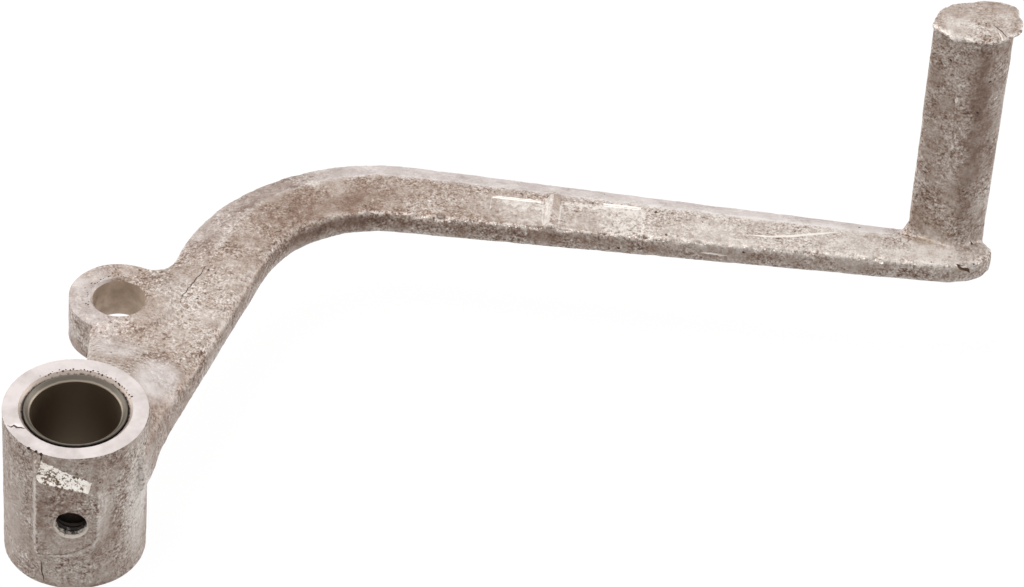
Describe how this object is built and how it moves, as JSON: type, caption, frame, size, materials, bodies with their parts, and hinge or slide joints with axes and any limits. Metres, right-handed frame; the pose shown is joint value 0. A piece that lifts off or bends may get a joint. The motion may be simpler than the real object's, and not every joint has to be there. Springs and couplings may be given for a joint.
{
  "type": "motorcycle brake lever",
  "caption": "Foot brake lever: a flat cast arm with a bushed pivot hub and a rod eye at one end and an upright foot peg at the other.",
  "frame": {"origin": "middle of the pivot bore, on its axis, half way up the hub", "axes": "+Z along the pivot bore and up the foot peg, +X along the straight run of the arm towards the peg, +Y from the pivot towards the rod eye and the bend"},
  "size_m": [0.2136, 0.127, 0.0926],
  "materials": {
    "cast_aluminium": "rough, weathered casting with machined hub and eye faces",
    "bush_steel": "turned, dull and stained"
  },
  "bodies": {
    "root": {"lever_casting": "cast_aluminium", "pivot_bush": "bush_steel"}
  },
  "joints": []
}
